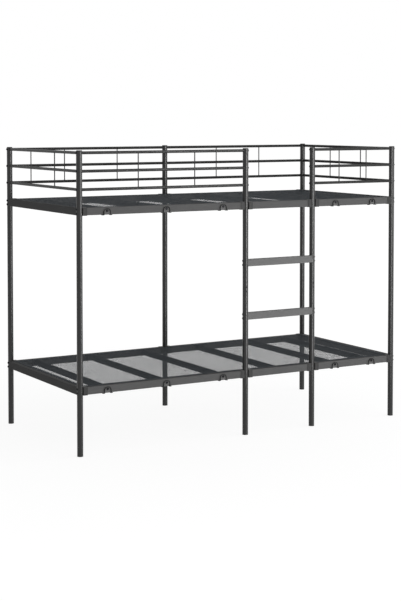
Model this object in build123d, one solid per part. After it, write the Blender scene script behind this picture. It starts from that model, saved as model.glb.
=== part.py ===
from build123d import *
import os
from math import sqrt

# A metal bunk bed: seven round posts carry two decks of steel mesh on box rails and round cross bars,
# with guard rails round the upper deck and two rungs between the ladder posts. X runs along the bed,
# Y from the front to the back and Z up. The origin is on the floor, in the middle of the bed.
# All sizes are in millimetres.

# Places of the posts, between their centre lines; the left ladder post stands in the middle of the bed
BED_LENGTH = 2040.0
BED_WIDTH = 932.0
LADDER_SPACING = 450.0

# Posts: a lower and an upper tube meet end to end over a sleeve, at a share of the way up from the
# lower deck to the upper deck
POST_DIAMETER = 32.0
POST_WALL = 1.2
POST_ABOVE_GUARD = 8.0
POST_JOINT_SHARE = 0.455
SLEEVE_LENGTH = 120.0
SLEEVE_WALL = 2.0
FOOT_CAP_THICKNESS = 4.0
FOOT_CAP_PLUG = 18.0
TOP_CAP_THICKNESS = 5.0
TOP_CAP_ROUNDING = 3.0

# Clearances: a piece inside another, a piece against a post's round side, a bolt in a plain hole,
# a top cap's plug above the highest bolt
FIT_CLEARANCE = 0.1
SEAT_CLEARANCE = 0.1
HOLE_CLEARANCE = 0.2
PLUG_CLEARANCE = 1.0
CUT_OVERRUN = 2.0

# Decks and their box rails; the brackets that hold the long rails are as deep as the posts
LOWER_DECK_TOP = 364.0
DECK_SPACING = 942.0
RAIL_HEIGHT = 40.0
RAIL_WALL = 1.0
TUBE_BEND_RADIUS = 1.5
BRACKET_REACH = 22.0
BRACKET_BASE = 6.0
BRACKET_WALL = 2.0

# Mesh: a thin sheet with a plain border, wider at the ends; the net inside it has this many gaps
# each way, and its edges lie this far from the rails
MESH_THICKNESS = 1.5
MESH_END_CLEARANCE = 2.0
MESH_SIDE_CLEARANCE = 4.0
MESH_END_BORDER = 38.0
MESH_SIDE_BORDER = 18.0
MESH_STRIP = 6.0
MESH_GAPS_LONG = 26
MESH_GAPS_WIDE = 12

# Round cross bars under the mesh
BAR_DIAMETER = 36.0
BAR_WALL = 0.8
BAR_END_BLOCK = 8.0
BAR_POST_DISTANCE = 154.0

# Arched saddle on the rail's outer face at each bolted end of a cross bar, wider than the bar
SADDLE_OVERHANG = 3.0
SADDLE_WALL = 4.0
SADDLE_DEPTH = 5.0
SADDLE_TOP_MARGIN = 6.0
SADDLE_PLATE = 1.5
SADDLE_FOOT_LENGTH = 7.5
SADDLE_FOOT_THICKNESS = 3.0
SADDLE_FOOT_UNDER_RAIL = 12.0
BAR_BOLT_DIAMETER = 8.0
BAR_BOLT_HEAD_DIAMETER = 14.0
BAR_BOLT_HEAD_HEIGHT = 4.0

# Guard rails and their upright spindles
GUARD_DIAMETER = 16.0
GUARD_WALL = 0.8
GUARD_END_BLOCK = 14.0
GUARD_ABOVE_DECK = 94.0
GUARD_SPACING = 96.0
GUARD_TIERS = 3
SPINDLE_DIAMETER = 6.0
LONG_PANEL_SPINDLE_SHARES = (0.34, 0.68)
BACK_RIGHT_SPINDLE_SHARES = (0.36, 0.67)
SHORT_PANEL_SPINDLE_SHARES = (0.33, 0.67)

# Rungs between the ladder posts, with their tops at shares of the way from deck to deck
RUNG_SHARES = (0.343, 0.66)
RUNG_HEIGHT = 40.0
RUNG_SETBACK = 2.0
RUNG_WALL = 1.0
RUNG_INSERT = 20.0

# Bolts through the posts, studs through the posts that have rails on both sides, and the screws that
# hold the posts' upper halves on their sleeves
BOLT_DIAMETER = 6.0
BOLT_REACH = 10.0
BOLT_HEAD_DIAMETER = 12.0
BOLT_HEAD_HEIGHT = 3.5
BOLT_HEAD_SEAT = 1.5
BOLT_PAIR_SPACING = 22.5
SCREW_DIAMETER = 5.0
SCREW_REACH = 5.0
SCREW_HEAD_DIAMETER = 9.0
SCREW_HEAD_HEIGHT = 2.0
SCREW_ABOVE_JOINT = 13.5
SCREW_PAIR_SPACING = 24.5

# Worked out from the sizes above
POST_RADIUS = POST_DIAMETER / 2
POST_BORE = POST_RADIUS - POST_WALL
SEAT_RADIUS = POST_RADIUS + SEAT_CLEARANCE
BAR_RADIUS = BAR_DIAMETER / 2
GUARD_RADIUS = GUARD_DIAMETER / 2
END_X = BED_LENGTH / 2
SIDE_Y = BED_WIDTH / 2
RAIL_DEPTH = POST_DIAMETER - 2 * BRACKET_WALL
RAIL_START = POST_RADIUS + BRACKET_BASE
RUNG_DEPTH = POST_DIAMETER - 2 * RUNG_SETBACK
UPPER_DECK_TOP = LOWER_DECK_TOP + DECK_SPACING
DECK_TOPS = {"lower": LOWER_DECK_TOP, "upper": UPPER_DECK_TOP}
LOWEST_GUARD_HEIGHT = UPPER_DECK_TOP + GUARD_ABOVE_DECK
GUARD_HEIGHTS = [LOWEST_GUARD_HEIGHT + tier * GUARD_SPACING for tier in range(GUARD_TIERS)]
POST_TOP = GUARD_HEIGHTS[-1] + POST_ABOVE_GUARD
TOP_CAP_PLUG = POST_ABOVE_GUARD - BOLT_DIAMETER / 2 - PLUG_CLEARANCE
RUNG_TOPS = [LOWER_DECK_TOP + DECK_SPACING * share for share in RUNG_SHARES]
POST_JOINT_HEIGHT = LOWER_DECK_TOP + DECK_SPACING * POST_JOINT_SHARE

POSTS = {
    "front_left": (-END_X, -SIDE_Y),
    "ladder_left": (0.0, -SIDE_Y),
    "ladder_right": (LADDER_SPACING, -SIDE_Y),
    "front_right": (END_X, -SIDE_Y),
    "back_left": (-END_X, SIDE_Y),
    "back_middle": (0.0, SIDE_Y),
    "back_right": (END_X, SIDE_Y),
}

# Rails that run along the bed, from one post to the next
LONG_RAILS = {
    "front_left": ("front_left", "ladder_left"),
    "front_ladder": ("ladder_left", "ladder_right"),
    "front_right": ("ladder_right", "front_right"),
    "back_left": ("back_left", "back_middle"),
    "back_right": ("back_middle", "back_right"),
}

# Rails across the two ends, welded to the corner posts
END_RAILS = {
    "left_end": ("front_left", "back_left"),
    "right_end": ("front_right", "back_right"),
}

# Guard panels: the two posts, whether bolts hold the panel, and where its spindles stand
GUARD_PANELS = {
    "front_left": ("front_left", "ladder_left", True, LONG_PANEL_SPINDLE_SHARES),
    "front_right": ("ladder_right", "front_right", True, SHORT_PANEL_SPINDLE_SHARES),
    "back_left": ("back_left", "back_middle", True, LONG_PANEL_SPINDLE_SHARES),
    "back_right": ("back_middle", "back_right", True, BACK_RIGHT_SPINDLE_SHARES),
    "left_end": ("front_left", "back_left", False, SHORT_PANEL_SPINDLE_SHARES),
    "right_end": ("front_right", "back_right", False, SHORT_PANEL_SPINDLE_SHARES),
}

# Posts with rails on both sides, which take studs instead of headed bolts
STUD_POSTS = ("ladder_left", "ladder_right", "back_middle")

# Posts whose joint screws face the front; on the others they face the back
FRONT_SCREW_POSTS = ("ladder_left", "ladder_right")


def rod(start, end, radius):
    """A round bar from one point to another."""
    path = Vector(*end) - Vector(*start)
    bar = Cylinder(radius, path.length, align=(Align.CENTER, Align.CENTER, Align.MIN))
    return Plane(origin=start, z_dir=path).location * bar


def block(low, high):
    """A box between two opposite corners."""
    size = [b - a for a, b in zip(low, high)]
    centre = [(a + b) / 2 for a, b in zip(low, high)]
    return Pos(*centre) * Box(*size)


def post_envelope(post, low, high, radius=POST_RADIUS):
    """An upright cylinder on a post's centre line, to cut a seat against the post."""
    x, y = POSTS[post]
    return rod((x, y, low), (x, y, high), radius)


def rail_centre(deck):
    """Height of the middle of a deck's rails."""
    return DECK_TOPS[deck] - RAIL_HEIGHT / 2


def pair_heights(centre, spacing):
    """Heights of two fasteners, one above and one below a centre."""
    return [centre - spacing / 2, centre + spacing / 2]


def deck_bolt_heights(deck):
    """Heights of the two bolts at each end of a deck's long rails."""
    return pair_heights(rail_centre(deck), BOLT_PAIR_SPACING)


def rung_bolt_heights(rung_top):
    """Heights of the two bolts at each end of a rung."""
    return pair_heights(rung_top - RUNG_HEIGHT / 2, BOLT_PAIR_SPACING)


def inward(post):
    """+1 for a post whose rails lie on its right, -1 for one whose rails lie on its left."""
    return 1 if POSTS[post][0] < 0 else -1


def screw_side(post):
    """Direction along Y in which a post's joint screws face."""
    return -1 if post in FRONT_SCREW_POSTS else 1


def bolt_places():
    """Every headed bolt as its post, the direction it points in along X, and its height."""
    places = []
    for post in POSTS:
        if post not in STUD_POSTS:
            heights = deck_bolt_heights("lower") + deck_bolt_heights("upper") + GUARD_HEIGHTS
            places += [(post, inward(post), z) for z in heights]
    places += [("ladder_left", -1, z) for z in GUARD_HEIGHTS]
    places += [("ladder_right", 1, z) for z in GUARD_HEIGHTS]
    for rung_top in RUNG_TOPS:
        for z in rung_bolt_heights(rung_top):
            places += [("ladder_left", 1, z), ("ladder_right", -1, z)]
    return places


def stud_places():
    """Every stud as its post and height."""
    places = []
    for post in STUD_POSTS:
        places += [(post, z) for z in deck_bolt_heights("lower") + deck_bolt_heights("upper")]
    places += [("back_middle", z) for z in GUARD_HEIGHTS]
    return places


def fastener_heights(post):
    """Heights of all the bolts and studs that pass through a post."""
    bolts = [z for name, _, z in bolt_places() if name == post]
    studs = [z for name, z in stud_places() if name == post]
    return bolts + studs


def screw_heights():
    """Heights of the two screws that hold each post's upper half on its sleeve."""
    lowest = POST_JOINT_HEIGHT + SCREW_ABOVE_JOINT
    return [lowest, lowest + SCREW_PAIR_SPACING]


def screw_hole(post, z):
    """Cutter for one post joint screw, from outside the post to its middle."""
    x, y = POSTS[post]
    start = y + screw_side(post) * (POST_RADIUS + CUT_OVERRUN)
    return rod((x, start, z), (x, y, z), SCREW_DIAMETER / 2 + FIT_CLEARANCE)


def post_tube(post, low, high):
    """Half of a post, with the holes for the bolts and screws within its height."""
    x, y = POSTS[post]
    half = POST_RADIUS + CUT_OVERRUN
    radius = BOLT_DIAMETER / 2 + HOLE_CLEARANCE
    cuts = [post_envelope(post, low - CUT_OVERRUN, high + CUT_OVERRUN, POST_BORE)]
    bolts = [z for z in fastener_heights(post) if low < z < high]
    cuts += [rod((x - half, y, z), (x + half, y, z), radius) for z in bolts]
    cuts += [screw_hole(post, z) for z in screw_heights() if low < z < high]
    return post_envelope(post, low, high) - cuts


def foot_cap(post):
    """Plastic cap under a post, with a plug up inside the tube."""
    cap = post_envelope(post, 0, FOOT_CAP_THICKNESS)
    return cap + post_envelope(post, 0, FOOT_CAP_THICKNESS + FOOT_CAP_PLUG, POST_BORE - FIT_CLEARANCE)


def top_cap(post):
    """Rounded plastic cap on a post, with a short plug down inside the tube."""
    cap = post_envelope(post, POST_TOP, POST_TOP + TOP_CAP_THICKNESS)
    cap = fillet(cap.edges().group_by(Axis.Z)[-1], TOP_CAP_ROUNDING)
    plug = post_envelope(post, POST_TOP - TOP_CAP_PLUG, POST_TOP, POST_BORE - FIT_CLEARANCE)
    return cap + plug


def joint_sleeve(post):
    """Sleeve inside a post that joins its two halves."""
    low = POST_JOINT_HEIGHT - SLEEVE_LENGTH / 2
    high = POST_JOINT_HEIGHT + SLEEVE_LENGTH / 2
    outer = POST_BORE - FIT_CLEARANCE
    bore = post_envelope(post, low - CUT_OVERRUN, high + CUT_OVERRUN, outer - SLEEVE_WALL)
    return post_envelope(post, low, high, outer) - [bore, *(screw_hole(post, z) for z in screw_heights())]


def joint_screw(post, z):
    """Screw through a post's side into its sleeve."""
    x, y = POSTS[post]
    side = screw_side(post)
    face = y + side * POST_RADIUS
    top = face + side * SCREW_HEAD_HEIGHT
    head = rod((x, top, z), (x, face - side * SCREW_HEAD_HEIGHT, z), SCREW_HEAD_DIAMETER / 2)
    head -= post_envelope(post, z - SCREW_HEAD_DIAMETER, z + SCREW_HEAD_DIAMETER)
    return head + rod((x, top, z), (x, face - side * SCREW_REACH, z), SCREW_DIAMETER / 2)


def post_bolt(post, side, z):
    """Bolt through a post: the head lies on one side and the shank reaches out of the other."""
    x, y = POSTS[post]
    face = x - side * POST_RADIUS
    top = face - side * BOLT_HEAD_HEIGHT
    head = rod((top, y, z), (face + side * BOLT_HEAD_SEAT, y, z), BOLT_HEAD_DIAMETER / 2)
    head -= post_envelope(post, z - BOLT_HEAD_DIAMETER, z + BOLT_HEAD_DIAMETER)
    tip = x + side * (POST_RADIUS + BOLT_REACH)
    return head + rod((top, y, z), (tip, y, z), BOLT_DIAMETER / 2)


def post_stud(post, z):
    """Headless stud through a post, into the rails on both sides of it."""
    x, y = POSTS[post]
    reach = POST_RADIUS + BOLT_REACH
    return rod((x - reach, y, z), (x + reach, y, z), BOLT_DIAMETER / 2)


def bar_places():
    """Every cross bar as its name, its place along the bed, and whether saddles and bolts hold it."""
    left, ladder_left = POSTS["front_left"][0], POSTS["ladder_left"][0]
    ladder_right, right = POSTS["ladder_right"][0], POSTS["front_right"][0]
    return [
        ("cross_bar_1", left + BAR_POST_DISTANCE, True),
        ("cross_bar_2", (left + ladder_left) / 2, True),
        ("cross_bar_3", ladder_left - BAR_POST_DISTANCE, True),
        ("cross_bar_4", (ladder_left + ladder_right) / 2, False),
        ("cross_bar_5", ladder_right + BAR_POST_DISTANCE, True),
        ("cross_bar_6", right - BAR_POST_DISTANCE, True),
    ]


def bolted_bar_places():
    """Places along the bed of the cross bars that saddles and bolts hold."""
    return [x for _, x, bolted in bar_places() if bolted]


def bar_height(deck):
    """Height of a cross bar's centre line, so that its top touches the mesh."""
    return DECK_TOPS[deck] - MESH_THICKNESS - BAR_RADIUS


def rounded_bar(low, high, along, radius):
    """A block whose edges along X (0) or Y (1) are rounded."""
    bar = block(low, high)
    return fillet(bar.edges().filter_by((Axis.X, Axis.Y)[along]), radius)


def box_tube(low, high, along, wall):
    """A rectangular tube with bent corners that is open at both ends, along X (0) or Y (1)."""
    inner_low = [a + (-CUT_OVERRUN if axis == along else wall) for axis, a in enumerate(low)]
    inner_high = [b + (CUT_OVERRUN if axis == along else -wall) for axis, b in enumerate(high)]
    bore = rounded_bar(inner_low, inner_high, along, TUBE_BEND_RADIUS)
    return rounded_bar(low, high, along, TUBE_BEND_RADIUS + wall) - bore


def long_rail(deck, posts):
    """Box rail along the bed, between the brackets on two posts."""
    (start, y), (end, _) = POSTS[posts[0]], POSTS[posts[1]]
    top = DECK_TOPS[deck]
    low = (start + RAIL_START, y - RAIL_DEPTH / 2, top - RAIL_HEIGHT)
    high = (end - RAIL_START, y + RAIL_DEPTH / 2, top)
    half = RAIL_DEPTH / 2 + CUT_OVERRUN
    z = bar_height(deck)
    radius = BAR_BOLT_DIAMETER / 2 + HOLE_CLEARANCE
    places = [x for x in bolted_bar_places() if start < x < end]
    holes = [rod((x, y - half, z), (x, y + half, z), radius) for x in places]
    rail = box_tube(low, high, 0, RAIL_WALL)
    return rail - holes if holes else rail


def end_rail(deck, posts):
    """Box rail across an end of the bed, cut to fit round its two corner posts."""
    (x, front), (_, back) = POSTS[posts[0]], POSTS[posts[1]]
    top = DECK_TOPS[deck]
    # The rail's corners meet the post this far from the post's centre, so it starts just short of that
    reach = sqrt(SEAT_RADIUS**2 - (RAIL_DEPTH / 2) ** 2) - FIT_CLEARANCE
    low = (x - RAIL_DEPTH / 2, front + reach, top - RAIL_HEIGHT)
    high = (x + RAIL_DEPTH / 2, back - reach, top)
    bottom, above = low[2] - CUT_OVERRUN, top + CUT_OVERRUN
    seats = [post_envelope(post, bottom, above, SEAT_RADIUS) for post in posts]
    return box_tube(low, high, 1, RAIL_WALL) - seats


def rail_bracket(deck, post, side):
    """Cup that holds the end of a long rail against a post."""
    x, y = POSTS[post]
    z = rail_centre(deck)
    half_depth = RAIL_DEPTH / 2 + BRACKET_WALL
    half_height = RAIL_HEIGHT / 2 + BRACKET_WALL
    near, far = sorted((x + side * RAIL_DEPTH / 2, x + side * (POST_RADIUS + BRACKET_REACH)))
    bracket = block((near, y - half_depth, z - half_height), (far, y + half_depth, z + half_height))
    pocket_depth = RAIL_DEPTH / 2 + FIT_CLEARANCE
    pocket_height = RAIL_HEIGHT / 2 + FIT_CLEARANCE
    mouth = POST_RADIUS + BRACKET_REACH + CUT_OVERRUN
    near, far = sorted((x + side * RAIL_START, x + side * mouth))
    pocket = block((near, y - pocket_depth, z - pocket_height), (far, y + pocket_depth, z + pocket_height))
    seat = post_envelope(post, z - RAIL_HEIGHT, z + RAIL_HEIGHT, SEAT_RADIUS)
    radius = BOLT_DIAMETER / 2 + FIT_CLEARANCE
    heights = deck_bolt_heights(deck)
    holes = [rod((x, y, height), (x + side * mouth, y, height), radius) for height in heights]
    return bracket - [pocket, seat, *holes]


def rail_brackets():
    """The brackets of all long rails on both decks."""
    brackets = []
    for deck in DECK_TOPS:
        for first, last in LONG_RAILS.values():
            brackets += [rail_bracket(deck, first, 1), rail_bracket(deck, last, -1)]
    return brackets


def cross_bar(deck, x, bolted):
    """Round tube between the front and back rails, with solid ends that take the bolts."""
    z = bar_height(deck)
    end = SIDE_Y - RAIL_DEPTH / 2
    bore = end - BAR_END_BLOCK
    bar = rod((x, -end, z), (x, end, z), BAR_RADIUS)
    bar -= rod((x, -bore, z), (x, bore, z), BAR_RADIUS - BAR_WALL)
    if bolted:
        hole = end + CUT_OVERRUN
        bar -= rod((x, -hole, z), (x, hole, z), BAR_BOLT_DIAMETER / 2 + FIT_CLEARANCE)
    return bar


def arch(radius, low, centre, depth):
    """A block with a round top, its back on the plane Y = 0, reaching forward along -Y."""
    legs = block((-radius, -depth, low), (radius, 0, centre))
    upper_half = block((-radius, -depth, centre), (radius, 0, centre + radius))
    return legs + (rod((0, -depth, centre), (0, 0, centre), radius) & upper_half)


def bar_saddle():
    """Arched saddle for a rail's front face, with two feet folded under the rail.

    The bolt's centre line is at the origin, and the rail's face is the plane Y = 0.
    """
    top = BAR_RADIUS + MESH_THICKNESS
    bottom = top - RAIL_HEIGHT
    foot = bottom - SADDLE_FOOT_THICKNESS
    outer = BAR_RADIUS + SADDLE_OVERHANG
    inner = outer - SADDLE_WALL
    centre = top - SADDLE_TOP_MARGIN - outer
    rim = arch(outer, foot, centre, SADDLE_DEPTH) - arch(inner, foot, centre, SADDLE_DEPTH)
    reach = outer + SADDLE_FOOT_LENGTH
    spans = ((-reach, -inner), (inner, reach))
    feet = [block((a, -SADDLE_DEPTH, foot), (b, SADDLE_FOOT_UNDER_RAIL, bottom)) for a, b in spans]
    saddle = rim + [arch(outer, bottom, centre, SADDLE_PLATE), *feet]
    return saddle - rod((0, -SADDLE_DEPTH, 0), (0, 0, 0), BAR_BOLT_DIAMETER / 2 + HOLE_CLEARANCE)


def bar_bolt():
    """Bolt through a saddle and its rail into the end of a cross bar, placed as the saddle is."""
    seat = -SADDLE_PLATE
    tip = RAIL_DEPTH + BAR_END_BLOCK
    head = rod((0, seat - BAR_BOLT_HEAD_HEIGHT, 0), (0, seat, 0), BAR_BOLT_HEAD_DIAMETER / 2)
    return head + rod((0, seat, 0), (0, tip, 0), BAR_BOLT_DIAMETER / 2)


def bar_fittings(fitting):
    """A copy of one fitting at both ends of every bolted cross bar on both decks."""
    face = SIDE_Y + RAIL_DEPTH / 2
    copies = []
    for deck in DECK_TOPS:
        for x in bolted_bar_places():
            copies.append(Pos(x, -face, bar_height(deck)) * fitting)
            copies.append(Pos(x, face, bar_height(deck)) * Rot(0, 0, 180) * fitting)
    return copies


def mesh_sheet(deck):
    """Mesh between the rails, as a net of square gaps inside a plain border."""
    length = 2 * (END_X - RAIL_DEPTH / 2 - MESH_END_CLEARANCE)
    width = 2 * (SIDE_Y - RAIL_DEPTH / 2 - MESH_SIDE_CLEARANCE)
    step_x = (length - 2 * MESH_END_BORDER + MESH_STRIP) / MESH_GAPS_LONG
    step_y = (width - 2 * MESH_SIDE_BORDER + MESH_STRIP) / MESH_GAPS_WIDE
    gap = Wire.make_rect(step_x - MESH_STRIP, step_y - MESH_STRIP)
    gaps = [spot * gap for spot in GridLocations(step_x, step_y, MESH_GAPS_LONG, MESH_GAPS_WIDE)]
    face = Face(Wire.make_rect(length, width), gaps)
    sheet = extrude(face, MESH_THICKNESS, dir=(0, 0, 1))
    return Pos(0, 0, DECK_TOPS[deck] - MESH_THICKNESS) * sheet


def spindles(first, last, shares, radius):
    """Upright rods between two posts, from the middle of the lowest guard rail to that of the highest."""
    start, end = (Vector(*POSTS[post], 0) for post in (first, last))
    low, high = (Vector(0, 0, z) for z in (GUARD_HEIGHTS[0], GUARD_HEIGHTS[-1]))
    feet = [start + (end - start) * share for share in shares]
    return [rod(foot + low, foot + high, radius) for foot in feet]


def guard_rail(first, last, z, bolted, spindle_shares):
    """Round rail between two posts, its ends cut to the posts and solid where the bolts enter."""
    start, end = (Vector(*POSTS[post], z) for post in (first, last))
    along = (end - start).normalized()
    bore = along * (POST_RADIUS + GUARD_END_BLOCK)
    cuts = [rod(start + bore, end - bore, GUARD_RADIUS - GUARD_WALL)]
    for post in (first, last):
        cuts.append(post_envelope(post, z - GUARD_DIAMETER, z + GUARD_DIAMETER, SEAT_RADIUS))
    if bolted:
        hole = bore + along * CUT_OVERRUN
        cuts.append(rod(start, start + hole, BOLT_DIAMETER / 2 + FIT_CLEARANCE))
        cuts.append(rod(end - hole, end, BOLT_DIAMETER / 2 + FIT_CLEARANCE))
    cuts += spindles(first, last, spindle_shares, SPINDLE_DIAMETER / 2 + FIT_CLEARANCE)
    return rod(start, end, GUARD_RADIUS) - cuts


def guard_panel(first, last, bolted, spindle_shares):
    """Three rails one above the other, and spindles from the lowest to the highest."""
    rails = [guard_rail(first, last, z, bolted, spindle_shares) for z in GUARD_HEIGHTS]
    return rails + spindles(first, last, spindle_shares, SPINDLE_DIAMETER / 2)


def rung_corners(rung_top, inset):
    """Opposite corners of a rung between the ladder posts, drawn in by an inset but not at its ends."""
    (start, y), (end, _) = POSTS["ladder_left"], POSTS["ladder_right"]
    # The rung's corners meet the post this far from the post's centre, so it starts just short of that
    reach = sqrt(SEAT_RADIUS**2 - (RUNG_DEPTH / 2) ** 2) - FIT_CLEARANCE
    low = (start + reach, y - RUNG_DEPTH / 2 + inset, rung_top - RUNG_HEIGHT + inset)
    high = (end - reach, y + RUNG_DEPTH / 2 - inset, rung_top - inset)
    return low, high


def rung_seats(rung_top):
    """Cutters that fit a piece between the ladder posts to the posts' round sides."""
    low, high = rung_top - RUNG_HEIGHT - CUT_OVERRUN, rung_top + CUT_OVERRUN
    return [post_envelope(post, low, high, SEAT_RADIUS) for post in ("ladder_left", "ladder_right")]


def rung(rung_top):
    """Rectangular tube between the ladder posts."""
    low, high = rung_corners(rung_top, 0)
    return box_tube(low, high, 0, RUNG_WALL) - rung_seats(rung_top)


def rung_inserts(rung_top):
    """Threaded blocks in the two ends of a rung."""
    low, high = rung_corners(rung_top, RUNG_WALL + FIT_CLEARANCE)
    start = POSTS["ladder_left"][0] + POST_RADIUS + RUNG_INSERT
    end = POSTS["ladder_right"][0] - POST_RADIUS - RUNG_INSERT
    radius = BOLT_DIAMETER / 2 + FIT_CLEARANCE
    heights = rung_bolt_heights(rung_top)
    blocks = []
    for near, far in ((low[0], start), (end, high[0])):
        left, right = near - CUT_OVERRUN, far + CUT_OVERRUN
        holes = [rod((left, -SIDE_Y, z), (right, -SIDE_Y, z), radius) for z in heights]
        bar = rounded_bar((near, *low[1:]), (far, *high[1:]), 0, TUBE_BEND_RADIUS)
        blocks.append(bar - [*holes, *rung_seats(rung_top)])
    return blocks


def bed_nodes():
    """Every piece of the bed, by the name of its node."""
    nodes = {}
    for post in POSTS:
        nodes[f"lower_post_{post}"] = [post_tube(post, FOOT_CAP_THICKNESS, POST_JOINT_HEIGHT)]
        nodes[f"upper_post_{post}"] = [post_tube(post, POST_JOINT_HEIGHT, POST_TOP)]
    nodes["foot_caps"] = [foot_cap(post) for post in POSTS]
    nodes["post_top_caps"] = [top_cap(post) for post in POSTS]
    nodes["post_joint_sleeves"] = [joint_sleeve(post) for post in POSTS]
    nodes["post_joint_screws"] = [joint_screw(post, z) for post in POSTS for z in screw_heights()]
    for deck in DECK_TOPS:
        for name, posts in LONG_RAILS.items():
            nodes[f"{deck}_rail_{name}"] = [long_rail(deck, posts)]
        for name, posts in END_RAILS.items():
            nodes[f"{deck}_rail_{name}"] = [end_rail(deck, posts)]
        for name, x, bolted in bar_places():
            nodes[f"{deck}_{name}"] = [cross_bar(deck, x, bolted)]
        nodes[f"{deck}_mesh"] = [mesh_sheet(deck)]
    nodes["rail_end_brackets"] = rail_brackets()
    nodes["bar_saddles"] = bar_fittings(bar_saddle())
    nodes["bar_bolts"] = bar_fittings(bar_bolt())
    for name, panel in GUARD_PANELS.items():
        nodes[f"{name}_guard"] = guard_panel(*panel)
    for number, rung_top in enumerate(RUNG_TOPS, start=1):
        nodes[f"rung_{number}"] = [rung(rung_top)]
    nodes["rung_end_inserts"] = [piece for rung_top in RUNG_TOPS for piece in rung_inserts(rung_top)]
    nodes["post_bolts"] = [post_bolt(*place) for place in bolt_places()]
    nodes["post_studs"] = [post_stud(*place) for place in stud_places()]
    return nodes


def main():
    """Build every piece and write one file for each node."""
    os.makedirs("parts", exist_ok=True)
    for name, pieces in bed_nodes().items():
        solids = [solid for piece in pieces for solid in piece.solids()]
        export_step(solids[0] if len(solids) == 1 else Compound(solids), f"parts/{name}.step")


if __name__ == "__main__":
    main()
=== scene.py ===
import logging
import math
from collections.abc import Iterable
from dataclasses import dataclass
from enum import Enum, IntEnum
from typing import Protocol

import bmesh
import bpy
from mathutils import Matrix, Vector


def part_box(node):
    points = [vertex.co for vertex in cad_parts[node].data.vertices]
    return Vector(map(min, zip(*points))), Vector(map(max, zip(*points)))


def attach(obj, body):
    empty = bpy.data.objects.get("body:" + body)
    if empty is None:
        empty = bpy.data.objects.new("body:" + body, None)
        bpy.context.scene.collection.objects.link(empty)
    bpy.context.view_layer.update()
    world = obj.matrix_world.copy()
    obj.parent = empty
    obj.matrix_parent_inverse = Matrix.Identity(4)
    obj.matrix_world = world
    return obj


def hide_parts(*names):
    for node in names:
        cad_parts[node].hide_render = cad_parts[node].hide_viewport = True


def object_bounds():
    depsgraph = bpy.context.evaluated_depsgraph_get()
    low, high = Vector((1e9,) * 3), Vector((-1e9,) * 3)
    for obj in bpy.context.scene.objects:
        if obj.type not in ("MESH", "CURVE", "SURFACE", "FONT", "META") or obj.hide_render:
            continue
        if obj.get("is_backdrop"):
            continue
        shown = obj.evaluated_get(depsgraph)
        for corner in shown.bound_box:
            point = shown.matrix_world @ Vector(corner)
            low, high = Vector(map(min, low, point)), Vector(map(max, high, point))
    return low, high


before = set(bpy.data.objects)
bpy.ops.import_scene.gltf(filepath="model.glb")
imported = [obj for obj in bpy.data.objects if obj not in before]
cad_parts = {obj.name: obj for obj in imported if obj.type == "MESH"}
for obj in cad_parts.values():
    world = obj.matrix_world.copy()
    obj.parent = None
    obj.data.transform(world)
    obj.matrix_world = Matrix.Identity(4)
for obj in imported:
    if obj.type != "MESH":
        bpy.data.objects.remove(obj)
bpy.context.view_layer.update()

MM = 0.001
BODY = "root"
WHITE = "#ffffff"
POST_RADIUS = 16 * MM
# Corners of a mesh that lie closer together than this are one corner
WELD_DISTANCE = 0.01 * MM
log = logging.getLogger("bunk_bed")


class Deck(Enum):
    """The two sleeping decks, by the word that starts their nodes' names."""

    LOWER = "lower"
    UPPER = "upper"


class Run(Enum):
    """The level direction in which a strip or a bolt runs, as the number of its axis."""

    ALONG_BED = 0
    ACROSS_BED = 1

    @property
    def sideways(self) -> int:
        """Give the number of the other level axis."""
        return 1 - self.value


class MixSocket(IntEnum):
    """Sockets of a node that mixes two colours, by the numbers that Blender gives them."""

    SHARE = 0
    FIRST = 6
    SECOND = 7
    RESULT = 2


def srgb_hex(colour: str) -> tuple[float, float, float, float]:
    """Turn an sRGB hex colour into the linear colour that a shader takes.

    The numbers are those of the sRGB standard: a straight line near black, a power curve above.

    Args:
        colour: The colour as "#rrggbb".

    Returns:
        Linear red, green and blue, and an alpha of 1.
    """
    levels = [int(colour[i : i + 2], 16) / 255 for i in (1, 3, 5)]
    linear = [v / 12.92 if v <= 0.04045 else ((v + 0.055) / 1.055) ** 2.4 for v in levels]
    return (*linear, 1.0)


def add_node(
    tree: bpy.types.NodeTree,
    kind: str,
    settings: dict[str | int, object] | None = None,
    links: dict[str | int, bpy.types.NodeSocket] | None = None,
) -> bpy.types.Node:
    """Add one shader node with its settings and its incoming links.

    Args:
        tree: The node tree that gets the node.
        kind: The node's type name in Blender.
        settings: Values for its inputs, by name or number, and for its own properties, by name.
        links: Output sockets of other nodes, by the name or number of the input they feed.

    Returns:
        The new node.
    """
    node = tree.nodes.new(kind)
    for key, value in (settings or {}).items():
        if isinstance(key, int) or key in node.inputs:
            node.inputs[key].default_value = value
        else:
            setattr(node, key, value)
    for key, source in (links or {}).items():
        tree.links.new(source, node.inputs[key])
    return node


def empty_material(name: str) -> bpy.types.Material:
    """Make a material whose node tree is empty.

    Args:
        name: The material's name.

    Returns:
        The new material.
    """
    material = bpy.data.materials.new(name)
    material.use_nodes = True
    material.node_tree.nodes.clear()
    return material


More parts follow.
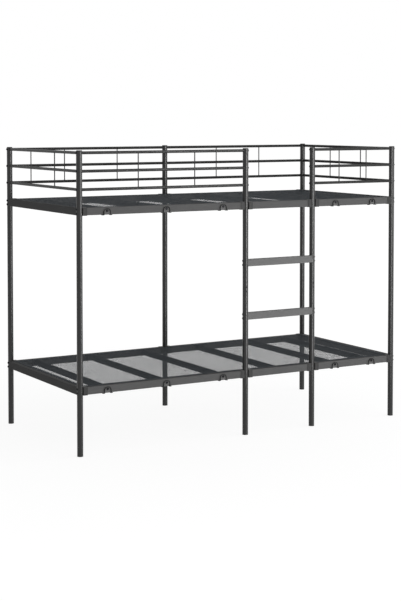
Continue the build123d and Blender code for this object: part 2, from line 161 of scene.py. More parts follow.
@dataclass(frozen=True)
class Grain:
    """Fine unevenness of a surface, which stirs its gloss and breaks up its highlights."""

    spacing_mm: float
    depth_mm: float
    bump_strength: float
    # How far the roughness swings to either side of the finish's own
    roughness_swing: float

    def build(
        self, tree: bpy.types.NodeTree, place: bpy.types.NodeSocket, roughness: float
    ) -> dict[str, bpy.types.NodeSocket]:
        """Add the grain's nodes.

        Args:
            tree: The node tree that gets them.
            place: The socket that gives the place on the surface.
            roughness: The finish's own roughness.

        Returns:
            The sockets that feed a shader, by the names of its inputs.
        """
        height = add_node(
            tree, "ShaderNodeTexNoise", {"Scale": 1 / (self.spacing_mm * MM)}, {"Vector": place}
        ).outputs["Fac"]
        gloss = add_node(
            tree,
            "ShaderNodeMapRange",
            {
                "To Min": roughness - self.roughness_swing,
                "To Max": roughness + self.roughness_swing,
            },
            {"Value": height},
        )
        relief = add_node(
            tree,
            "ShaderNodeBump",
            {"Strength": self.bump_strength, "Distance": self.depth_mm * MM},
            {"Height": height},
        )
        return {"Roughness": gloss.outputs["Result"], "Normal": relief.outputs["Normal"]}


@dataclass(frozen=True)
class PowderCoat:
    """Polyester powder coat on steel, sprayed dry and baked.

    It gives the eye a satin skin over a dark pigment: broad soft highlights with no sharp mirror,
    broken up by the faint ripple called orange peel.
    """

    name: str
    # The coat's tone wanders between these two
    colour: str
    lighter: str
    roughness: float
    # Part of the gloss of a bare resin: the matting agent takes the rest
    gloss_level: float
    ior: float = 1.5
    # Real orange peel is about 1.5 mm from crest to crest, drawn coarser here so that it shows
    peel: Grain = Grain(spacing_mm=5.0, depth_mm=0.05, bump_strength=0.5, roughness_swing=0.05)
    # The coat's thickness drifts slowly along a tube, and its tone with it
    drift_spacing_mm: float = 160.0
    drift_detail: float = 3.0

    def build(self) -> bpy.types.Material:
        """Build the coat's material.

        Returns:
            The material.
        """
        material = empty_material(self.name)
        tree = material.node_tree
        place = add_node(tree, "ShaderNodeTexCoord").outputs["Object"]
        drift = add_node(
            tree,
            "ShaderNodeTexNoise",
            {"Scale": 1 / (self.drift_spacing_mm * MM), "Detail": self.drift_detail},
            {"Vector": place},
        )
        tones = {MixSocket.FIRST: srgb_hex(self.colour), MixSocket.SECOND: srgb_hex(self.lighter)}
        tone = add_node(
            tree,
            "ShaderNodeMix",
            {"data_type": "RGBA", **tones},
            {MixSocket.SHARE: drift.outputs["Fac"]},
        )
        coat = add_node(
            tree,
            "ShaderNodeBsdfPrincipled",
            {"IOR": self.ior, "Specular IOR Level": self.gloss_level},
            {
                "Base Color": tone.outputs[MixSocket.RESULT],
                **self.peel.build(tree, place, self.roughness),
            },
        )
        add_node(tree, "ShaderNodeOutputMaterial", None, {"Surface": coat.outputs["BSDF"]})
        return material


@dataclass(frozen=True)
class MouldedPlastic:
    """Injection-moulded polyethylene, spark-eroded to a fine matt grain.

    It gives the eye a deep even black that is duller than the coat beside it.
    """

    name: str
    colour: str
    roughness: float
    gloss_level: float
    ior: float = 1.51
    # The mould's grain is about 0.3 mm across, drawn coarser here so that it shows
    grain: Grain = Grain(spacing_mm=2.0, depth_mm=0.04, bump_strength=0.6, roughness_swing=0.08)

    def build(self) -> bpy.types.Material:
        """Build the plastic's material.

        Returns:
            The material.
        """
        material = empty_material(self.name)
        tree = material.node_tree
        place = add_node(tree, "ShaderNodeTexCoord").outputs["Object"]
        plastic = add_node(
            tree,
            "ShaderNodeBsdfPrincipled",
            {
                "Base Color": srgb_hex(self.colour),
                "IOR": self.ior,
                "Specular IOR Level": self.gloss_level,
            },
            self.grain.build(tree, place, self.roughness),
        )
        add_node(tree, "ShaderNodeOutputMaterial", None, {"Surface": plastic.outputs["BSDF"]})
        return material


@dataclass(frozen=True)
class SteelFinish:
    """Steel with a thin conversion or plated layer and no paint.

    It gives the eye a metal's own tinted reflection, softened by the tumbling that the parts get
    before they are finished.
    """

    name: str
    colour: str
    roughness: float
    # Tumbling leaves dents about 0.5 mm apart, drawn coarser here so that they show
    dents: Grain = Grain(spacing_mm=1.5, depth_mm=0.03, bump_strength=0.4, roughness_swing=0.1)

    def build(self) -> bpy.types.Material:
        """Build the steel's material.

        Returns:
            The material.
        """
        material = empty_material(self.name)
        tree = material.node_tree
        place = add_node(tree, "ShaderNodeTexCoord").outputs["Object"]
        steel = add_node(
            tree,
            "ShaderNodeBsdfPrincipled",
            {"Base Color": srgb_hex(self.colour), "Metallic": 1.0},
            self.dents.build(tree, place, self.roughness),
        )
        add_node(tree, "ShaderNodeOutputMaterial", None, {"Surface": steel.outputs["BSDF"]})
        return material


class Finish(Enum):
    """The bed's finishes.

    The powder coat is matched to the photograph on each group of pieces: with most gloss on the
    round posts, and paler and nearly matt on the flat faces of rails, rungs and saddle plates.
    These paler tones are painted light, standing in for the soft front light on those flat faces,
    and the far guards' darker, duller copy is painted shade.
    """

    # Of each coat: its name, its two tones, its roughness and its gloss
    POST_COAT = PowderCoat("satin_coat_on_tubes", "#2c2c2c", "#343434", 0.25, 0.35)
    NEAR_GUARD_COAT = PowderCoat("satin_coat_on_near_guards", "#2e2e2e", "#363636", 0.4, 0.18)
    # A darker, duller copy of the near guards' coat: painted shade on the far side
    FAR_GUARD_SHADED_COAT = PowderCoat("painted_shade_coat_on_far_guards", "#2c2c2c", "#343434", 0.5, 0.09)
    # Rails: the bed's dark coat painted paler, as painted light for the soft light on their flat
    # faces
    LONG_RAIL_LIT_COAT = PowderCoat("painted_light_coat_on_rails", "#626262", "#6a6a6a", 0.65, 0.0)
    END_RAIL_LIT_COAT = PowderCoat("painted_light_coat_on_end_rails", "#6a6a6a", "#727272", 0.65, 0.0)
    # Rungs: a little paler paint in fact, painted paler still as painted light on their flat
    # fronts
    RUNG_LIT_COAT = PowderCoat("painted_light_coat_on_rungs", "#767676", "#7e7e7e", 0.65, 0.03)
    BAR_COAT = PowderCoat("matt_coat_on_bars", "#42474a", "#4b5053", 0.65, 0.03)
    # On the fine strips of the mesh the coat lies thinner and ripples less
    MESH_COAT = PowderCoat(
        "matt_coat_on_mesh",
        "#42464a",
        "#4c5054",
        0.7,
        0.03,
        peel=Grain(spacing_mm=5.0, depth_mm=0.01, bump_strength=0.5, roughness_swing=0.05),
    )
    BRACKET_COAT = PowderCoat("matt_coat_on_brackets", "#424242", "#4a4a4a", 0.55, 0.1)
    HOOP_COAT = PowderCoat("dark_coat_on_saddle_hoops", "#2a2a2a", "#323232", 0.5, 0.1)
    # Saddle plates: the dark coat painted paler, as painted light like the rails'
    PLATE_LIT_COAT = PowderCoat("painted_light_coat_on_saddle_plates", "#6c6c6c", "#747474", 0.65, 0.03)
    CAP_PLASTIC = MouldedPlastic("moulded_black_polyethylene", "#2b2b2b", 0.6, 0.35)
    SCREW_STEEL = SteelFinish("blackened_steel_screws", "#262628", 0.45)
    INNER_STEEL = SteelFinish("zinc_plated_steel_inside", "#a8a9ab", 0.35)


Finishes = dict[Finish, bpy.types.Material]


def nodes_named(start: str) -> list[str]:
    """List the CAD nodes whose names start in a given way.

    Args:
        start: How the names start.

    Returns:
        The names in alphabetical order.
    """
    return sorted(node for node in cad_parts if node.startswith(start))


def dress(nodes: Iterable[str], material: bpy.types.Material) -> list[bpy.types.Object]:
    """Give several CAD nodes the same finish.

    Args:
        nodes: The nodes' names.
        material: The finish.

    Returns:
        The nodes' objects.
    """
    pieces = [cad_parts[node] for node in nodes]
    for piece in pieces:
        for slot in piece.material_slots:
            slot.material = material
    return pieces


def place_piece(
    name: str, bm: bmesh.types.BMesh, materials: list[bpy.types.Material], replaced: str
) -> bpy.types.Object:
    """Turn finished mesh data into a piece that stands for a CAD node.

    Args:
        name: The piece's name.
        bm: Its mesh, which is freed here.
        materials: Its finishes, in the order of its faces' numbers.
        replaced: The CAD node that it stands for.

    Returns:
        The new object.
    """
    mesh = bpy.data.meshes.new(name)
    bm.to_mesh(mesh)
    bm.free()
    for material in materials:
        mesh.materials.append(material)
    piece = bpy.data.objects.new(name, mesh)
    bpy.context.scene.collection.objects.link(piece)
    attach(piece, BODY)
    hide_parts(replaced)
    return piece


def add_block(bm: bmesh.types.BMesh, low: Vector, high: Vector) -> None:
    """Add a closed block between two opposite corners.

    Args:
        bm: The mesh that gets the block.
        low: Its lowest corner.
        high: Its highest corner.
    """
    size = high - low
    matrix = Matrix.Translation((low + high) / 2) @ Matrix.Diagonal((*size, 1.0))
    bmesh.ops.create_cube(bm, size=1.0, matrix=matrix)


def join_rings(
    bm: bmesh.types.BMesh, first: list[bmesh.types.BMVert], second: list[bmesh.types.BMVert]
) -> list[bmesh.types.BMFace]:
    """Join two rings of corners by a band of faces.

    Args:
        bm: The mesh that gets the faces.
        first: The corners of one ring.
        second: The corners of the other, in the same order.

    Returns:
        The faces.
    """
    faces = []
    for i in range(len(first)):
        j = (i + 1) % len(first)
        faces.append(bm.faces.new((first[i], first[j], second[j], second[i])))
    return faces


def islands(mesh: bpy.types.Mesh) -> list[list[Vector]]:
    """Split a mesh into the pieces that hang together.

    Args:
        mesh: The mesh.

    Returns:
        The corners of each piece.
    """
    bm = bmesh.new()
    bm.from_mesh(mesh)
    bmesh.ops.remove_doubles(bm, verts=bm.verts, dist=WELD_DISTANCE)
    reached = set()
    groups = []
    for start in bm.verts:
        if start in reached:
            continue
        reached.add(start)
        front = [start]
        group = []
        while front:
            vert = front.pop()
            group.append(vert.co.copy())
            near = [v for v in (e.other_vert(vert) for e in vert.link_edges) if v not in reached]
            reached.update(near)
            front += near
        groups.append(group)
    bm.free()
    return groups


def hexagon(angle: float) -> float:
    """Work out how far out a hexagon's side lies at an angle.

    Args:
        angle: The angle round the hexagon's middle, from one of its corners.

    Returns:
        The distance from the middle, as a share of the corners' own.
    """
    sixth = math.tau / 6
    return math.cos(sixth / 2) / math.cos(angle % sixth - sixth / 2)


class SubAssembly(Protocol):
    """A part of the bed that builds and dresses its own pieces."""

    def build(self) -> list[bpy.types.Object]:
        """Build and dress the pieces, and return them."""


@dataclass
class Posts:
    """Posts in two halves, with the caps, sleeves and studs that sit in them.

    The cut ends have their edges broken by a tool, which draws a seam where two halves meet.
    Lengths are in metres and angles in degrees.
    """

    finishes: Finishes
    chamfer: float = 0.7 * MM
    chamfer_segments: int = 1
    # Only edges that turn by more than this are broken, which spares the round sides
    least_angle: float = 60.0

    def build(self) -> list[bpy.types.Object]:
        """Dress the pieces and break the edges of every post half.

        Returns:
            The post halves and the pieces that sit in them.
        """
        halves = nodes_named("lower_post_") + nodes_named("upper_post_")
        tubes = dress(halves, self.finishes[Finish.POST_COAT])
        for tube in tubes:
            edges = tube.modifiers.new("broken_edges", "BEVEL")
            edges.width = self.chamfer
            edges.segments = self.chamfer_segments
            edges.limit_method = "ANGLE"
            edges.angle_limit = math.radians(self.least_angle)
        caps = dress(["foot_caps", "post_top_caps"], self.finishes[Finish.CAP_PLASTIC])
        sleeves = dress(["post_joint_sleeves"], self.finishes[Finish.INNER_STEEL])
        studs = dress(["post_studs"], self.finishes[Finish.SCREW_STEEL])
        return tubes + caps + sleeves + studs


@dataclass
class GuardPanels:
    """Guard panels round the upper deck; the far ones get a darker, duller copy of the coat as
    painted shade.
    """

    finishes: Finishes
    near: tuple[str, ...] = ("front_left_guard", "front_right_guard", "left_end_guard")
    far: tuple[str, ...] = ("back_left_guard", "back_right_guard", "right_end_guard")

    def build(self) -> list[bpy.types.Object]:
        """Coat the panels, which keep their CAD shapes.

        Returns:
            The panels.
        """
        near = dress(self.near, self.finishes[Finish.NEAR_GUARD_COAT])
        # The far panels' darker, duller coat is painted shade
        far = dress(self.far, self.finishes[Finish.FAR_GUARD_SHADED_COAT])
        return near + far


@dataclass
class DeckRails:
    """Box rails of both decks: long ones at the front and back, short ones at the ends."""

    finishes: Finishes

    def build(self) -> list[bpy.types.Object]:
        """Coat the rails, which keep their CAD shapes.

        Returns:
            The rails.
        """
        rails = nodes_named("lower_rail_") + nodes_named("upper_rail_")
        end_rails = [node for node in rails if node.endswith("_end")]
        long_rails = [node for node in rails if node not in end_rails]
        # Both rail coats are paler copies of the bed's dark coat: painted light on the flat faces
        long_pieces = dress(long_rails, self.finishes[Finish.LONG_RAIL_LIT_COAT])
        end_pieces = dress(end_rails, self.finishes[Finish.END_RAIL_LIT_COAT])
        return long_pieces + end_pieces


@dataclass
class Ladder:
    """Flat rungs between the ladder posts, with a threaded block in each end."""

    finishes: Finishes

    def build(self) -> list[bpy.types.Object]:
        """Dress the rungs and their blocks, which keep their CAD shapes.

        Returns:
            The rungs and the blocks.
        """
        # The rungs' pale coat is partly their own paler paint and mostly painted light
        rungs = dress(["rung_1", "rung_2"], self.finishes[Finish.RUNG_LIT_COAT])
        blocks = dress(["rung_end_inserts"], self.finishes[Finish.INNER_STEEL])
        return rungs + blocks


@dataclass
class MeshDeck:
    """One deck: punched steel mesh stretched inside a folded hem, and the round bars under it.

    Lengths are in metres.
    """

    deck: Deck
    finishes: Finishes
    # Spacing and width of the wide strips along the bed and of the narrow ones across it
    long_pitch: float = 6 * MM
    long_width: float = 3.85 * MM
    cross_pitch: float = 12 * MM
    cross_width: float = 1.2 * MM
    # Thin enough that the far side still shows through at the photograph's low angle
    strip_thickness: float = 0.03 * MM
    end_hem: float = 24 * MM
    side_hem: float = 18 * MM
    # At each end the hem, though not the net inside it, stands this far out past the CAD sheet
    end_lap: float = 1 * MM
    # The hem's edges are stepped back by this much, as a fold leaves them
    hem_step: float = 0.4 * MM
    hem_step_segments: int = 2

    @property
    def inset(self) -> Vector:
        """Give the way from a corner of the deck to the corner of the net inside the hem."""
        return Vector((self.end_hem, self.side_hem, 0))

    def add_strips(self, bm: bmesh.types.BMesh, run: Run, low: Vector, high: Vector) -> None:
        """Add parallel strips inside the hem.

        Args:
            bm: The mesh that gets the strips.
            run: The direction in which the strips run.
            low: Lowest corner of the space inside the hem, at the strips' underside.
            high: Highest corner of that space.
        """
        is_long = run is Run.ALONG_BED
        pitch = self.long_pitch if is_long else self.cross_pitch
        width = self.long_width if is_long else self.cross_width
        across = run.sideways
        count = round((high[across] - low[across]) / pitch)
        step = (high[across] - low[across]) / count
        for number in range(count):
            middle = low[across] + (number + 0.5) * step
            start, end = low.copy(), high.copy()
            start[across] = middle - width / 2
            end[across] = middle + width / 2
            end.z = low.z + self.strip_thickness
            add_block(bm, start, end)

    def add_hem(self, bm: bmesh.types.BMesh, low: Vector, high: Vector) -> None:
        """Add the hem as one closed frame with stepped edges.

        Args:
            bm: The mesh that gets the hem.
            low: The hem's lowest corner.
            high: The hem's highest corner.
        """
        rings = []
        for z in (low.z, high.z):
            for a, b in ((low, high), (low + self.inset, high - self.inset)):
                corners = ((a.x, a.y), (b.x, a.y), (b.x, b.y), (a.x, b.y))
                rings.append([bm.verts.new((x, y, z)) for x, y in corners])
        bottom_outer, bottom_inner, top_outer, top_inner = rings
        around = (bottom_outer, top_outer, top_inner, bottom_inner, bottom_outer)
        faces = [f for pair in zip(around, around[1:]) for f in join_rings(bm, *pair)]
        edges = dict.fromkeys(e for face in faces for e in face.edges)
        level_edges = [e for e in edges if e.verts[0].co.z == e.verts[1].co.z]
        bmesh.ops.bevel(
            bm,
            geom=level_edges,
            offset=self.hem_step,
            segments=self.hem_step_segments,
            affect="EDGES",
        )

    def build(self) -> list[bpy.types.Object]:
        """Build the mesh in the place of its CAD node, and coat it and the bars.

        Returns:
            The mesh and the bars.
        """
        node = f"{self.deck.value}_mesh"
        low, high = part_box(node)
        net_low, net_high = low + self.inset, high - self.inset
        lap = Vector((self.end_lap, 0, 0))
        above = Vector((0, 0, self.strip_thickness))
        bm = bmesh.new()
        self.add_hem(bm, low - lap, high + lap)
        self.add_strips(bm, Run.ACROSS_BED, net_low, net_high)
        self.add_strips(bm, Run.ALONG_BED, net_low + above, net_high)
        bmesh.ops.recalc_face_normals(bm, faces=bm.faces)
        coat = self.finishes[Finish.MESH_COAT]
        net = place_piece(f"{node}_net", bm, [coat], node)
        bars = nodes_named(f"{self.deck.value}_cross_bar_")
        return [net, *dress(bars, self.finishes[Finish.BAR_COAT])]


@dataclass(frozen=True)
class Rounding:
    """Rounded edges, as pressing and tumbling leave them on small parts.

    Lengths are in metres and angles in degrees.
    """

    # How far from each edge the rounding starts
    reach: float = 0.6 * MM
    segments: int = 2
    # The bevel tool's number for a round profile
    profile: float = 0.5
    # Faces within the first angle of each other are joined, edges over the second are rounded
    flat_angle: float = 1.0
    sharp_angle: float = 35.0

    def soften(self, node: str) -> bmesh.types.BMesh:
        """Copy a CAD node's mesh with its sharp edges rounded.

        Args:
            node: The node's name.

        Returns:
            The new mesh.
        """
        bm = bmesh.new()
        bm.from_mesh(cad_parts[node].data)
        bmesh.ops.remove_doubles(bm, verts=bm.verts, dist=WELD_DISTANCE)
        flat, sharp = math.radians(self.flat_angle), math.radians(self.sharp_angle)
        bmesh.ops.dissolve_limit(bm, angle_limit=flat, verts=bm.verts, edges=bm.edges)
        edges = [e for e in bm.edges if e.calc_face_angle(0.0) > sharp]
        bmesh.ops.bevel(
            bm,
            geom=edges,
            offset=self.reach,
            segments=self.segments,
            profile=self.profile,
            affect="EDGES",
            clamp_overlap=True,
        )
        return bm


@dataclass
class RailBrackets:
    """Pressed steel cups that hold the ends of the long rails."""

    finishes: Finishes
    rounding: Rounding = Rounding()

    def build(self) -> list[bpy.types.Object]:
        """Build the brackets in the place of their CAD node.

        Returns:
            The brackets, as one piece.
        """
        node = "rail_end_brackets"
        coat = self.finishes[Finish.BRACKET_COAT]
        bm = self.rounding.soften(node)
        return [place_piece(f"{node}_soft", bm, [coat], node)]


@dataclass
class BarSaddles:
    """Arched saddles on the rails: a thick dark hoop on two feet round a thin plate.

    Lengths are in metres.
    """

    finishes: Finishes
    rounding: Rounding = Rounding()
    plate_thickness: float = 1.5 * MM
    # A face looks straight out or in where its normal's share across the bed is more than this
    facing: float = 0.9

    def is_plate(self, face: bmesh.types.BMFace, rail_face: float) -> bool:
        """Tell whether a face lies on the front of a saddle's thin plate.

        Args:
            face: The face.
            rail_face: How far the rails' outer faces lie from the bed's middle.

        Returns:
            True on a plate.
        """
        depth = abs(face.calc_center_median().y) - rail_face
        off_plate = abs(depth - self.plate_thickness)
        return abs(face.normal.y) > self.facing and off_plate < self.plate_thickness / 2

    def build(self) -> list[bpy.types.Object]:
        """Build the saddles in the place of their CAD node.

        Returns:
            The saddles, as one piece.
        """
        node = "bar_saddles"
        bm = self.rounding.soften(node)
        rail_face = -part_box("lower_rail_front_left")[0].y
        # Plate faces get a paler copy of the coat as painted light; the hoops keep the dark coat
        for face in bm.faces:
            face.material_index = int(self.is_plate(face, rail_face))
        coats = [self.finishes[Finish.HOOP_COAT], self.finishes[Finish.PLATE_LIT_COAT]]
        return [place_piece(f"{node}_soft", bm, coats, node)]


@dataclass(frozen=True)
class DomedHead:
    """Shape of a domed screw head with a hexagon socket.

    Depths lie below the head's top, as shares of its height, and radii are shares of its own.
    """

    socket_radius: float = 0.52
    socket_depth: float = 0.6
    socket_edge_depth: float = 0.05
    crown_radius: float = 0.66
    shoulder_radius: float = 0.86
    shoulder_depth: float = 0.14
    side_depth: float = 0.45


@dataclass
class SocketBolts:
    """Bolts of one CAD node with a domed head and a hexagon socket.

    Lengths are in metres. A bolt's own axis runs from the top of its head to its tip.
    """

    node: str
    finishes: Finishes
    run: Run
    head_height: float
    shank_radius: float
    # Radius of the post that the head is shaped to; none where it sits on a flat face
    seat_radius: float | None = None
    head: DomedHead = DomedHead()
    # The tip's edge is broken by this share of the shank's radius
    point_share: float = 0.15
    # Corners of the plain bolt that stand higher over its axis than this share of its head's
    # radius belong to the head
    rim_share: float = 0.9
    sides: int = 24

    def seat(self, radius: float, angle: float) -> float:
        """Work out how far the round side of a post falls back under the head.

        Args:
            radius: The distance from the bolt's own axis.
            angle: The angle round that axis, from the upright.

        Returns:
            The fall from the post's foremost line, which is nothing on a flat face.
        """
        if self.seat_radius is None:
            return 0.0
        side = radius * math.sin(angle)
        return self.seat_radius - math.sqrt(self.seat_radius**2 - side**2)

    def profile(self, head_radius: float, length: float) -> list[list[tuple[float, float]]]:
        """Work out the rings of one bolt, from the bottom of its socket to its tip.

        Args:
            head_radius: The head's radius.
            length: The bolt's whole length.

        Returns:
            For each ring, the depth below the head's top and the radius at every angle.
        """
        head, height, shank = self.head, self.head_height, self.shank_radius
        angles = [math.tau * i / self.sides for i in range(self.sides)]
        socket = [head.socket_radius * head_radius * hexagon(a) for a in angles]
        point = self.point_share * shank
        return [
            [(head.socket_depth * height, radius) for radius in socket],
            [(head.socket_edge_depth * height, radius) for radius in socket],
            [(0.0, head.crown_radius * head_radius)] * self.sides,
            [(head.shoulder_depth * height, head.shoulder_radius * head_radius)] * self.sides,
            [(head.side_depth * height, head_radius)] * self.sides,
            [(height + self.seat(head_radius, a), head_radius) for a in angles],
            [(height + self.seat(shank, a), shank) for a in angles],
            [(length - point, shank)] * self.sides,
            [(length, shank - point)] * self.sides,
        ]

    def add_bolt(self, bm: bmesh.types.BMesh, corners: list[Vector]) -> None:
        """Add one bolt in the place of its plain one.

        Args:
            bm: The mesh that gets the bolt.
            corners: The plain bolt's corners.
        """
        along, across = self.run.value, self.run.sideways
        low, high = (Vector(pick(v[i] for v in corners) for i in range(3)) for pick in (min, max))
        centre = (low + high) / 2
        head_radius = (high.z - low.z) / 2
        widest = [v for v in corners if v.z > centre.z + self.rim_share * head_radius]
        head_is_low = sum(v[along] for v in widest) / len(widest) < centre[along]
        top = low[along] if head_is_low else high[along]
        inwards = 1 if head_is_low else -1
        rings = []
        for ring in self.profile(head_radius, high[along] - low[along]):
            verts = []
            for number, (depth, radius) in enumerate(ring):
                angle = math.tau * number / self.sides
                place = Vector((0, 0, centre.z + radius * math.cos(angle)))
                place[along] = top + inwards * depth
                place[across] = centre[across] + radius * math.sin(angle)
                verts.append(bm.verts.new(place))
            rings.append(verts)
        for first, second in zip(rings, rings[1:]):
            join_rings(bm, first, second)
        bm.faces.new(rings[0])
        bm.faces.new(rings[-1])

    def build(self) -> list[bpy.types.Object]:
        """Build the bolts in the place of their CAD node.

        Returns:
            The bolts, as one piece.
        """
        steel = self.finishes[Finish.SCREW_STEEL]
        bm = bmesh.new()
        for corners in islands(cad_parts[self.node].data):
            self.add_bolt(bm, corners)
        bmesh.ops.recalc_face_normals(bm, faces=bm.faces)
        return [place_piece(f"{self.node}_socket", bm, [steel], self.node)]


@dataclass(frozen=True)
class Softbox:
    """Upright soft lamp that the camera doesn't see.

    Lengths are in metres and the power in watts.
    """

    name: str
    place: tuple[float, float, float]
    size: tuple[float, float]
    power: float
    # Whether it brightens the coats' own colours, and whether it shines back from them
    brightens: bool = True
    shines_back: bool = True

    def build(self, target: Vector) -> None:
        """Build the lamp.

        Args:
            target: What it points at.
        """
        data = bpy.data.lights.new(self.name, "AREA")
        data.shape = "RECTANGLE"
        data.size, data.size_y = self.size
        data.energy = self.power
        lamp = bpy.data.objects.new(self.name, data)
        lamp.location = self.place
        lamp.rotation_euler = (target - lamp.location).to_track_quat("-Z", "Y").to_euler()
        lamp.visible_camera = False
        lamp.visible_diffuse = self.brightens
        lamp.visible_glossy = self.shines_back
        bpy.context.scene.collection.objects.link(lamp)


@dataclass
class Studio:
    """Pale floor, soft lamps and the camera.

    Lengths are in metres and angles in degrees.
    """

    camera_place: tuple[float, float, float] = (-4.1789, -7.1345, 1.7811)
    camera_heading: float = 30.25
    camera_tilt: float = 2.584
    focal_length_mm: float = 84.82
    frame_shift: float = -0.2
    floor_half_width: float = 40.0
    floor_segments: int = 8
    # The floor lies this far below the feet, so that the two don't share a plane
    floor_gap: float = 0.1 * MM
    # The floor's paint as it throws light back at the bed, and as it is seen
    floor_colour: str = "#dcdcdc"
    seen_floor_colour: str = "#707070"
    # The floor's own glow where it is seen: under the bed, far from it, and how far out each holds
    near_glow: float = 0.91
    far_glow: float = 0.98
    near_distance: float = 1.0
    far_distance: float = 6.0
    backdrop_level: float = 1.0
    # The room's own light on what isn't seen directly: a bright side, which lies this many degrees
    # from the bed's front towards its right end, a dim side, and less light from above
    bright_side_heading: float = 69.0
    bright_level: float = 0.9
    dim_level: float = 0.34
    side_softness: float = 0.2
    overhead_share: float = 0.3
    lamps_target: tuple[float, float, float] = (0.2, -0.4, 1.0)
    # The strip stands close in front of the ladder and draws the bright line down every post
    lamps: tuple[Softbox, ...] = (
        Softbox("key_softbox", (3.0, -8.5, 1.8), (5.0, 4.0), 250),
        Softbox("side_softbox", (8.3, -3.5, 1.8), (6.0, 4.0), 440, shines_back=False),
        Softbox("strip_softbox", (0.48, -1.9, 1.25), (0.3, 2.5), 35, brightens=False),
    )

    def add_camera(self) -> None:
        """Add the camera at the photograph's place and make it the scene's."""
        data = bpy.data.cameras.new("studio_camera")
        data.lens = self.focal_length_mm
        data.shift_y = self.frame_shift
        camera = bpy.data.objects.new("studio_camera", data)
        camera.location = self.camera_place
        # A camera that isn't turned looks straight down, and at 90 degrees it looks level
        tilt, heading = math.radians(90 - self.camera_tilt), math.radians(self.camera_heading)
        camera.rotation_euler = (tilt, 0, -heading)
        bpy.context.scene.collection.objects.link(camera)
        bpy.context.scene.camera = camera

    def seen_directly(self, tree: bpy.types.NodeTree) -> bpy.types.NodeSocket:
        """Add nodes that give 1 for camera, glossy and transmission rays, and 0 for the others.

        Args:
            tree: The node tree that gets them.

        Returns:
            The socket with that value.
        """
        path = add_node(tree, "ShaderNodeLightPath").outputs
        seen = path["Is Camera Ray"]
        for ray in ("Is Glossy Ray", "Is Transmission Ray"):
            either = {0: seen, 1: path[ray]}
            larger = add_node(tree, "ShaderNodeMath", {"operation": "MAXIMUM"}, either)
            seen = larger.outputs["Value"]
        return seen

    def add_world(self) -> None:
        """Light the scene softly, more from its right, with a white backdrop where it is seen."""
        world = bpy.data.worlds.new("studio_world")
        world.use_nodes = True
        tree = world.node_tree
        tree.nodes.clear()
        direction = add_node(tree, "ShaderNodeTexCoord").outputs["Generated"]
        heading = math.radians(self.bright_side_heading)
        bright_side = (math.sin(heading), -math.cos(heading), 0)
        side = add_node(
            tree,
            "ShaderNodeVectorMath",
            {"operation": "DOT_PRODUCT", 1: bright_side},
            {0: direction},
        )
        around = add_node(
            tree,
            "ShaderNodeMapRange",
            {
                "interpolation_type": "SMOOTHSTEP",
                "From Min": -self.side_softness,
                "From Max": self.side_softness,
                "To Min": self.dim_level,
                "To Max": self.bright_level,
            },
            {"Value": side.outputs["Value"]},
        )
        height = add_node(tree, "ShaderNodeSeparateXYZ", None, {"Vector": direction}).outputs["Z"]
        share = add_node(
            tree,
            "ShaderNodeMapRange",
            {"To Min": 1.0, "To Max": self.overhead_share},
            {"Value": height},
        )
        ambient = add_node(
            tree,
            "ShaderNodeMath",
            {"operation": "MULTIPLY"},
            {0: around.outputs["Result"], 1: share.outputs["Result"]},
        )
        level = add_node(
            tree,
            "ShaderNodeMapRange",
            {"To Max": self.backdrop_level},
            {"Value": self.seen_directly(tree), "To Min": ambient.outputs["Value"]},
        )
        light = add_node(
            tree,
            "ShaderNodeBackground",
            {"Color": srgb_hex(WHITE)},
            {"Strength": level.outputs["Result"]},
        )
        add_node(tree, "ShaderNodeOutputWorld", None, {"Surface": light.outputs["Background"]})
        bpy.context.scene.world = world

    def floor_material(self) -> bpy.types.Material:
        """Make the floor's paint, which also glows where it is seen, to run on into the backdrop.

        Returns:
            The material.
        """
        material = empty_material("pale_studio_floor")
        tree = material.node_tree
        place = add_node(tree, "ShaderNodeTexCoord").outputs["Object"]
        distance = add_node(tree, "ShaderNodeVectorMath", {"operation": "LENGTH"}, {0: place})
        own_light = add_node(
            tree,
            "ShaderNodeMapRange",
            {
                "From Min": self.near_distance,
                "From Max": self.far_distance,
                "To Min": self.near_glow,
                "To Max": self.far_glow,
            },
            {"Value": distance.outputs["Value"]},
        )
        seen = self.seen_directly(tree)
        glow = add_node(
            tree,
            "ShaderNodeMath",
            {"operation": "MULTIPLY"},
            {0: seen, 1: own_light.outputs["Result"]},
        )
        colours = {
            MixSocket.FIRST: srgb_hex(self.floor_colour),
            MixSocket.SECOND: srgb_hex(self.seen_floor_colour),
        }
        colour = add_node(
            tree, "ShaderNodeMix", {"data_type": "RGBA", **colours}, {MixSocket.SHARE: seen}
        ).outputs[MixSocket.RESULT]
        paint = add_node(tree, "ShaderNodeBsdfDiffuse", None, {"Color": colour})
        shine = add_node(
            tree,
            "ShaderNodeEmission",
            {"Color": srgb_hex(WHITE)},
            {"Strength": glow.outputs["Value"]},
        )
        both = add_node(
            tree,
            "ShaderNodeAddShader",
            None,
            {0: paint.outputs["BSDF"], 1: shine.outputs["Emission"]},
        )
        add_node(tree, "ShaderNodeOutputMaterial", None, {"Surface": both.outputs["Shader"]})
        return material

    def add_floor(self) -> None:
        """Add a flat pale floor that takes the bed's shadow."""
        bm = bmesh.new()
        bmesh.ops.create_grid(
            bm,
            x_segments=self.floor_segments,
            y_segments=self.floor_segments,
            size=self.floor_half_width,
        )
        mesh = bpy.data.meshes.new("studio_floor")
        bm.to_mesh(mesh)
        bm.free()
        mesh.materials.append(self.floor_material())
        floor = bpy.data.objects.new("studio_floor", mesh)
        floor.location.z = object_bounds()[0].z - self.floor_gap
        bpy.context.scene.collection.objects.link(floor)
        floor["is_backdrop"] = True

    def build(self) -> None:
        """Build the whole studio."""
        bpy.context.scene.view_settings.view_transform = "Standard"
        self.add_camera()
        self.add_world()
        self.add_floor()
        for lamp in self.lamps:
            lamp.build(Vector(self.lamps_target))
        log.info("studio: camera, floor, backdrop and lamps")


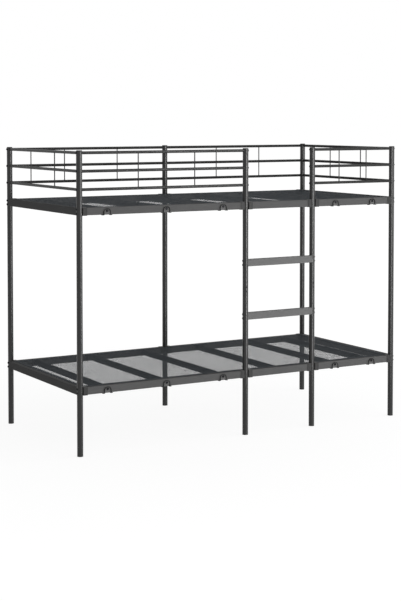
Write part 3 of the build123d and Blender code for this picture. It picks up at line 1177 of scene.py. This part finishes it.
def main() -> None:
    """Build the studio, the finishes and the bed's sub-assemblies, and report each piece."""
    logging.basicConfig(level=logging.INFO, format="%(message)s")
    Studio().build()
    finishes = {finish: finish.value.build() for finish in Finish}
    sub_assemblies: tuple[SubAssembly, ...] = (
        Posts(finishes),
        GuardPanels(finishes),
        DeckRails(finishes),
        Ladder(finishes),
        *(MeshDeck(deck, finishes) for deck in Deck),
        RailBrackets(finishes),
        BarSaddles(finishes),
        SocketBolts(
            "post_bolts",
            finishes,
            Run.ALONG_BED,
            head_height=3.5 * MM,
            shank_radius=3 * MM,
            seat_radius=POST_RADIUS,
        ),
        SocketBolts(
            "post_joint_screws",
            finishes,
            Run.ACROSS_BED,
            head_height=2 * MM,
            shank_radius=2.5 * MM,
            seat_radius=POST_RADIUS,
        ),
        SocketBolts(
            "bar_bolts",
            finishes,
            Run.ACROSS_BED,
            head_height=4 * MM,
            shank_radius=4 * MM,
        ),
    )
    for sub_assembly in sub_assemblies:
        for piece in sub_assembly.build():
            coats = ", ".join(slot.material.name for slot in piece.material_slots)
            log.info("%s: %d faces in %s", piece.name, len(piece.data.polygons), coats)


if __name__ == "__main__":
    main()
